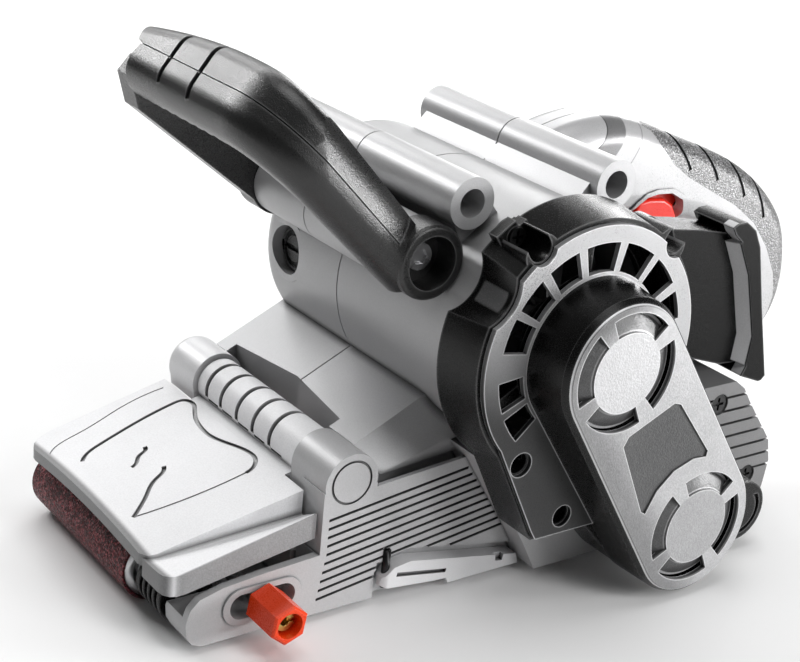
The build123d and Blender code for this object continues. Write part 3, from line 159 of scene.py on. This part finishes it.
def about_y(x, z, lo, hi):
    """Mask from 0 to 1 with the distance from a line along Y."""
    def f(m):
        d = vec(m, "SUBTRACT", m.coord, (x, 0.0, z)).outputs["Vector"]
        d = vec(m, "MULTIPLY", d, (1.0, 0.0, 1.0)).outputs["Vector"]
        return smooth(m, vec(m, "LENGTH", d).outputs["Value"], lo, hi)
    return f


def both(*masks):
    def f(m):
        out = masks[0](m)
        for g in masks[1:]:
            out = m.math("MULTIPLY", out, g(m))
        return out
    return f


# ambient occlusion of the object itself, turned by moulded() into painted shade in grooves and painted highlights on
# convex edges
def hollow(m, distance, inside=False):
    n = m.tree.nodes.new("ShaderNodeAmbientOcclusion")
    n.samples = 8
    n.only_local = True
    n.inside = inside
    n.inputs["Distance"].default_value = distance
    return n.outputs["AO"]


def moulded(name, dark, light, rough, grain, depth, metallic=0.0, spec=0.5, cloud=18.0, grain_kind="noise", coat=0.0, regions=(), speck=None,
            painted_crease_shade=None, painted_edge_highlight=None):
    """Moulded plastic or paint: clouded tone, fine grain in colour, roughness and height.
    regions: (mask, dark, light) blends to another tone where the mask is 1.
    speck: (scale, threshold, tone) adds small bright flakes.
    The crease pair (distance, tone) is painted shade, darker in grooves and hollows. The edge pair (distance, tone) is
    a painted highlight, lighter along convex edges."""
    m = Nodes(name)
    tone = m.noise(cloud, 4.0, 0.6)
    fine = m.noise(grain, 2.0, 0.6) if grain_kind == "noise" else m.voronoi(grain)
    mixed = m.math("ADD", m.math("MULTIPLY", tone, 0.45), m.math("MULTIPLY", fine, 0.55))
    col = m.ramp(mixed, [(0.32, dark), (0.68, light)])
    for mask, d2, l2 in regions:
        col = m.mix(mask(m), col, m.ramp(mixed, [(0.32, d2), (0.68, l2)]))
    if speck:
        fl = m.voronoi(speck[0], out="Color")
        sep = m.tree.nodes.new("ShaderNodeSeparateColor")
        m.link(fl, sep.inputs["Color"])
        col = m.mix(m.remap(sep.outputs[0], 0.0, 1.0, speck[1], 1.0), col, speck[2])
    # painted shade: darker where the surface is hollow
    if painted_crease_shade:
        col = m.mix(m.remap(hollow(m, painted_crease_shade[0]), 1.0, 0.0, 0.30, 0.86), col, painted_crease_shade[1])
    # painted highlight: lighter along convex edges
    if painted_edge_highlight:
        col = m.mix(m.remap(hollow(m, painted_edge_highlight[0], True), 0.9, 0.0, 0.45, 0.92), col, painted_edge_highlight[1])
    rgh = m.remap(mixed, rough - 0.07, rough + 0.09, 0.3, 0.7)
    nor = m.bump(fine, 1.0, depth)
    nor = m.bump(m.noise(cloud * 14.0, 3.0, 0.5), 0.35, depth * 1.2, nor)
    return m.set(Base_Color=col, Roughness=rgh, Normal=nor, Metallic=metallic, Specular_IOR_Level=spec, Coat_Weight=coat)


def grey(v):
    return (v, v, v * 1.015)


# painted shade for narrow grooves: occlusion distance and dark tone
FINE_GROOVE_SHADE = (0.0022, grey(0.035))
MAT = {}
# painted shade in grooves and at parting lines
MAT["silver_plastic"] = moulded("silver_plastic", grey(0.34), grey(0.43), 0.39, 2600.0, 0.00004, metallic=0.35, painted_crease_shade=(0.005, grey(0.030)))
# painted shade in grooves
MAT["cover_white"] = moulded("cover_white", grey(0.74), grey(0.88), 0.44, 1700.0, 0.00010, painted_crease_shade=(0.0036, grey(0.035)),
                             # painted shade on the front lip, which faces -X
                             regions=[(along((-1.0, 0.0, 0.0), 0.1140, 0.1162), grey(0.14), grey(0.22)),
                                      # painted shade on the near side, which faces -Y
                                      (along((0.0, -1.0, 0.0), 0.0730, 0.0742), grey(0.20), grey(0.30))])
# painted highlight along convex edges
MAT["black_plastic"] = moulded("black_plastic", grey(0.0015), grey(0.0050), 0.25, 2300.0, 0.00005, spec=0.27, painted_edge_highlight=(0.0009, grey(0.12)))
# painted shade in grooves and painted highlight along convex edges
MAT["graphite_plate"] = moulded("graphite_plate", grey(0.33), grey(0.43), 0.31, 2800.0, 0.00005, metallic=0.45, painted_crease_shade=FINE_GROOVE_SHADE, painted_edge_highlight=(0.0006, grey(0.70)),
                                # painted shade: the plate darker towards its lower end
                                regions=[(along((0.35, 0.0, 0.94), 0.110, 0.068), grey(0.026), grey(0.044))])
# painted shade in grooves and painted highlight along convex edges
MAT["cover_silver"] = moulded(
    "cover_silver", grey(0.33), grey(0.50), 0.35, 1500.0, 0.00014, metallic=0.35, painted_crease_shade=FINE_GROOVE_SHADE, painted_edge_highlight=(0.0006, grey(0.75)),
    # painted shade: the face darker towards its lower left and towards its upper end
    regions=[(along((-0.827, 0.0, -0.562), -0.074, -0.056), grey(0.15), grey(0.24)),
             (along((-0.562, 0.0, 0.827), 0.076, 0.092), grey(0.09), grey(0.15)),
             (about_y(0.026, 0.100, 0.0152, 0.0146), grey(0.40), grey(0.56)),
             (about_y(0.0734, 0.0303, 0.0152, 0.0146), grey(0.26), grey(0.40)),
             (both(along((0.0, 1.0, 0.0), -0.1243, -0.1240), about_y(0.026, 0.100, 0.0226, 0.0224)), grey(0.055), grey(0.10)),
             (both(along((0.0, 1.0, 0.0), -0.1243, -0.1240), about_y(0.0734, 0.0303, 0.0226, 0.0224)), grey(0.055), grey(0.10)),
             (both(along((0.0, 1.0, 0.0), -0.1246, -0.1244), about_y(0.026, 0.100, 0.0226, 0.0228), about_y(0.0734, 0.0303, 0.0226, 0.0228),
                   along((-0.827, 0.0, -0.562), -0.0545, -0.0550), along((0.827, 0.0, 0.562), 0.0553, 0.0560)), grey(0.050), grey(0.095))])
# painted shade in grooves
MAT["grip_rubber"] = moulded("grip_rubber", grey(0.03), grey(0.13), 0.32, 1500.0, 0.00016, grain_kind="voronoi", spec=0.9,
                             speck=(2400.0, 0.72, grey(0.50)), painted_crease_shade=(0.002, grey(0.010)))
# painted shade in grooves
MAT["orange_plastic"] = moulded("orange_plastic", (0.62, 0.030, 0.003), (0.80, 0.062, 0.007), 0.28, 2500.0, 0.00004, spec=0.35, painted_crease_shade=(0.002, (0.10, 0.006, 0.001)))
MAT["red_plastic"] = moulded("red_plastic", (0.64, 0.012, 0.005), (0.76, 0.024, 0.010), 0.30, 2500.0, 0.00004, spec=0.3)
MAT["grey_plastic"] = moulded("grey_plastic", grey(0.10), grey(0.16), 0.45, 2000.0, 0.00006)
MAT["rubber"] = moulded("rubber", grey(0.008), grey(0.024), 0.55, 1500.0, 0.00010)
MAT["carbon"] = moulded("carbon", grey(0.012), grey(0.03), 0.5, 3000.0, 0.00005)
# the same plastics in paler, darker or softer-skinned versions, some with painted shade and painted light
# painted shade in grooves
BASE = moulded("silver_plastic_base", grey(0.40), grey(0.50), 0.40, 2600.0, 0.00005, metallic=0.15, painted_crease_shade=(0.0020, grey(0.03)),
               # darker towards the rear (+X)
               regions=[(along((1.0, 0.0, 0.0), 0.040, 0.080), grey(0.11), grey(0.17))])
# painted shade in grooves
PALE = moulded("silver_plastic_pale", grey(0.64), grey(0.76), 0.40, 2600.0, 0.00004, metallic=0.10, painted_crease_shade=(0.005, grey(0.030)))
# painted highlight along convex edges
BOWED = moulded("black_plastic_soft", grey(0.003), grey(0.008), 0.29, 2400.0, 0.00011, spec=0.62, painted_edge_highlight=(0.0008, grey(0.10)))
# painted highlight along convex edges
DUCT = moulded("black_plastic_duct", grey(0.0012), grey(0.0040), 0.25, 2300.0, 0.00005, spec=0.12, painted_edge_highlight=(0.0009, grey(0.12)),
               # painted light: a lit pale strip on the collar's front face, black again beyond it
               regions=[(along((0.0, -1.0, 0.0), 0.07410, 0.07440), grey(0.52), grey(0.64)),
                        (along((0.0, -1.0, 0.0), 0.07920, 0.07960), grey(0.0012), grey(0.0040)),
                        (along((0.6, 0.0, 0.8), 0.1738, 0.1744), grey(0.0012), grey(0.0040)),
                        (along((0.96, 0.0, 0.28), 0.1570, 0.1585), grey(0.0012), grey(0.0040))])
# painted shade in grooves
DOME = moulded("silver_plastic_dome", grey(0.40), grey(0.50), 0.31, 2600.0, 0.00004, metallic=0.30, painted_crease_shade=FINE_GROOVE_SHADE,
               regions=[(about_y(0.080, 0.158, 0.0240, 0.0236), grey(0.15), grey(0.20)),
                        (about_y(0.080, 0.158, 0.0148, 0.0144), grey(0.42), grey(0.52)),
                        (both(about_y(0.080, 0.158, 0.0140, 0.0143), about_y(0.080, 0.158, 0.0149, 0.0146)), grey(0.05), grey(0.08)),
                        (both(about_y(0.080, 0.158, 0.0327, 0.0330), about_y(0.080, 0.158, 0.0336, 0.0333)), grey(0.20), grey(0.26))])


def turned(name, dark, light, rough, lines=900.0, spec=0.5):
    """Metal with fine marks round the turning axis (Y) and small stains."""
    m = Nodes(name)
    marks = m.noise(1.0, 2.0, 0.6, m.mapped((60.0, lines * 4.0, 60.0)))
    stain = m.noise(140.0, 4.0, 0.6)
    col = m.ramp(m.math("ADD", m.math("MULTIPLY", marks, 0.5), m.math("MULTIPLY", stain, 0.5)), [(0.3, dark), (0.7, light)])
    rgh = m.remap(marks, rough - 0.08, rough + 0.12, 0.3, 0.7)
    return m.set(Base_Color=col, Roughness=rgh, Metallic=1.0, Normal=m.bump(marks, 0.6, 0.00003))


MAT["steel"] = turned("steel", (0.36, 0.36, 0.37), (0.56, 0.56, 0.57), 0.30)
MAT["brass"] = turned("brass", (0.50, 0.32, 0.08), (0.78, 0.55, 0.18), 0.26)
MAT["copper"] = turned("copper", (0.45, 0.18, 0.08), (0.70, 0.34, 0.18), 0.32)
MAT["aluminium"] = turned("aluminium", (0.50, 0.50, 0.51), (0.68, 0.68, 0.69), 0.33)
MAT["laminations"] = turned("laminations", (0.10, 0.10, 0.11), (0.24, 0.24, 0.25), 0.45, lines=500.0)


def cork():
    m = Nodes("cork")
    cell = m.voronoi(700.0)
    tone = m.noise(260.0, 4.0, 0.6)
    col = m.ramp(m.math("ADD", m.math("MULTIPLY", cell, 0.5), m.math("MULTIPLY", tone, 0.6)),
                 [(0.25, (0.16, 0.09, 0.04)), (0.5, (0.36, 0.23, 0.12)), (0.8, (0.50, 0.36, 0.20))])
    return m.set(Base_Color=col, Roughness=0.85, Normal=m.bump(cell, 0.8, 0.0002))


def abrasive():
    """Closely packed grit in a dark red-brown resin, with bright broken faces."""
    m = Nodes("abrasive")
    grit = m.voronoi(1500.0)
    cell = m.voronoi(1500.0, out="Color")
    sep = m.tree.nodes.new("ShaderNodeSeparateColor")
    m.link(cell, sep.inputs["Color"])
    tone = m.noise(420.0, 3.0, 0.6)
    col = m.ramp(m.math("ADD", m.math("MULTIPLY", sep.outputs[0], 0.6), m.math("MULTIPLY", tone, 0.5)),
                 [(0.25, (0.018, 0.0025, 0.0035)), (0.6, (0.070, 0.009, 0.012)), (0.9, (0.34, 0.085, 0.095))])
    rgh = m.remap(sep.outputs[1], 0.25, 0.75)
    nor = m.bump(grit, 1.0, 0.00035)
    nor = m.bump(m.noise(900.0, 2.0, 0.5), 0.6, 0.0003, nor)
    return m.set(Base_Color=col, Roughness=rgh, Normal=nor, Specular_IOR_Level=0.25)


MAT["cork"] = cork()
MAT["abrasive"] = abrasive()

SLOT = {s["node"]: s["material_slot"] for s in frame["record"]["subparts"]}
BLUED = turned("steel_blackened", grey(0.020), grey(0.055), 0.34)
OWN = {"bail_upper": BOWED, "bail_lower": BOWED, "dust_outlet": DUCT, "handle_near": DOME, "handle_far": DOME,
       "base_frame": BASE, "top_deck": PALE, "tension_lever": PALE, "rear_hood": BASE, "case_screws": BLUED,
       "base_screws": BLUED, "lever_pin": BLUED}
for name, ob in NODES.items():
    ob.data.materials.clear()
    ob.data.materials.append(OWN.get(name, MAT[SLOT[name]]))


# ----------------------------------------------------------------------
# moulded edges on the construction
# ----------------------------------------------------------------------
EDGE = {
    "front_cover": 0.0009, "housing_near": 0.0006, "housing_far": 0.0006, "gear_case": 0.0006, "vent_plate": 0.0003,
    "belt_cover": 0.0006, "cover_face": 0.0004, "base_frame": 0.0003, "top_deck": 0.0006, "rear_hood": 0.0008,
    "bail_upper": 0.0006, "bail_lower": 0.0006, "handle_near": 0.0005, "handle_far": 0.0005, "handle_grip": 0.0004,
    "dust_outlet": 0.0007, "trigger": 0.0008, "tracking_knob": 0.0005, "tension_lever": 0.0006, "axle_boot": 0.0004,
    "knob_insert": 0.0002, "brush_caps": 0.0003, "base_screws": 0.0002, "case_screws": 0.0002, "bail_bolt": 0.0003,
    "far_plate": 0.0003, "tension_yoke": 0.0004, "front_axle": 0.0003, "cord_inlet": 0.0003, "abrasive_belt": 0.0002,
    "far_plate_screws": 0.0002, "far_bush": 0.0002,
}
for name, ob in NODES.items():
    for p in ob.data.polygons:
        p.use_smooth = True
    w = ob.modifiers.new("weld", "WELD")
    w.merge_threshold = 2e-6
    if name != "belt_cover":  # its flat foot is a ring, which has to stay open
        d = ob.modifiers.new("planes", "DECIMATE")
        d.decimate_type = "DISSOLVE"
        d.angle_limit = math.radians(0.6)
    if name in EDGE:
        b = ob.modifiers.new("edges", "BEVEL")
        b.width = EDGE[name]
        b.segments = 2
        b.limit_method = "ANGLE"
        b.angle_limit = math.radians(33)
        b.use_clamp_overlap = True
        b.harden_normals = False
    n = ob.modifiers.new("normals", "WEIGHTED_NORMAL")
    n.keep_sharp = False
    n.weight = 80

# ----------------------------------------------------------------------
# floor, light, camera
# ----------------------------------------------------------------------
bm = bmesh.new()
S = 14
vs = {}
for i in range(-S, S + 1):
    for j in range(-S, S + 1):
        vs[i, j] = bm.verts.new((i * 0.5, j * 0.5, 0.0))
for i in range(-S, S):
    for j in range(-S, S):
        bm.faces.new((vs[i, j], vs[i + 1, j], vs[i + 1, j + 1], vs[i, j + 1]))
me = bpy.data.meshes.new("floor")
bm.to_mesh(me)
bm.free()
floor = bpy.data.objects.new("floor", me)
SC.collection.objects.link(floor)
fm = Nodes("floor_pale")
floor.data.materials.append(fm.set(Base_Color=fm.ramp(fm.noise(2.0, 2.0), [(0.3, 0.86), (0.7, 0.90)]), Roughness=0.8, Specular_IOR_Level=0.2))

world = bpy.data.worlds.new("studio")
SC.world = world
world.use_nodes = True
world.node_tree.nodes["Background"].inputs["Color"].default_value = (1.0, 1.0, 1.0, 1.0)
world.node_tree.nodes["Background"].inputs["Strength"].default_value = 0.12


def area(name, loc, at, sx, sy, watts):
    li = bpy.data.lights.new(name, "AREA")
    li.shape = "RECTANGLE"
    li.size, li.size_y = sx, sy
    li.energy = watts
    ob = bpy.data.objects.new(name, li)
    ob.location = loc
    ob.rotation_mode = "QUATERNION"
    ob.rotation_quaternion = (Vector(at) - Vector(loc)).to_track_quat("-Z", "Y")
    SC.collection.objects.link(ob)


area("key_far", (0.12, 1.10, 0.95), (0.0, 0.0, 0.08), 0.6, 0.5, 3.2)
area("key_left", (-0.38, 0.92, 0.76), (-0.04, -0.02, 0.12), 0.34, 0.30, 7.0)
area("top_soft", (0.0, -0.10, 1.35), (0.0, -0.03, 0.1), 0.8, 0.8, 6.5)
area("side_right", (0.42, -1.15, 0.55), (0.04, -0.10, 0.08), 0.4, 0.6, 5.0)
area("near_top", (0.15, -0.95, 0.95), (-0.02, -0.08, 0.12), 0.25, 0.25, 2.6)
area("back_right", (1.05, 0.80, 0.50), (0.20, 0.05, 0.08), 0.5, 0.4, 5.0)
area("right_low", (0.87, -0.68, 0.15), (-0.05, -0.075, 0.155), 0.22, 0.22, 9.0)
area("backdrop", (1.0, 1.9, 1.3), (0.9, 1.5, 0.0), 1.4, 1.0, 16.0)

cam = bpy.data.cameras.new("camera")
cam.sensor_fit = "HORIZONTAL"
cam.sensor_width = 36.0
cam.lens = 75.22
cam.clip_start, cam.clip_end = 0.01, 50.0
cam_ob = bpy.data.objects.new("camera", cam)
right, up, fwd = (0.81429, -0.57319, 0.09155), (0.14671, 0.35585, 0.92296), (0.56160, 0.73813, -0.37386)
cam_ob.matrix_world = Matrix(((right[0], up[0], -fwd[0], -0.34933), (right[1], up[1], -fwd[1], -0.49034),
                              (right[2], up[2], -fwd[2], 0.31609), (0, 0, 0, 1)))
SC.collection.objects.link(cam_ob)
SC.camera = cam_ob
SC.view_settings.view_transform = "Standard"
